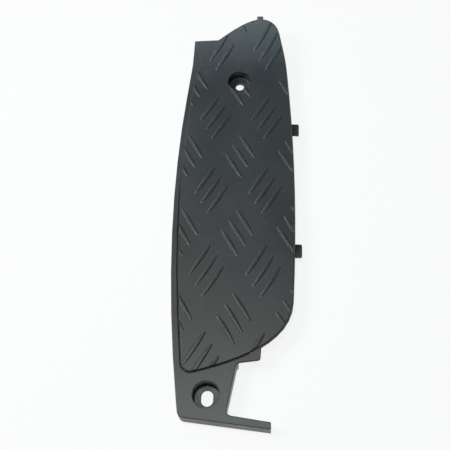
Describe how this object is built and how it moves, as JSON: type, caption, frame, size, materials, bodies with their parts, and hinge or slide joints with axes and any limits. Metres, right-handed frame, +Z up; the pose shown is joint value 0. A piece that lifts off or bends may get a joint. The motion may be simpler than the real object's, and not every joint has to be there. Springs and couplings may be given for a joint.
{
  "type": "scooter floorboard",
  "caption": "Moulded left footboard of a motor scooter: a ribbed plastic shell with a raised tread pad of crossed bars, an upturned front end, recessed bolt wells and a thin rear arm.",
  "frame": {"origin": "axis of the front bolt hole, at the underside of its seat", "axes": "+X across the scooter towards its centre tunnel, +Y forward along the board, +Z up out of the tread"},
  "size_m": [0.1184, 0.419, 0.033],
  "materials": {
    "black_polypropylene": "unpainted grained polypropylene, dark grey to black, satin"
  },
  "bodies": {
    "root": {"floorboard": "black_polypropylene"}
  },
  "joints": []
}
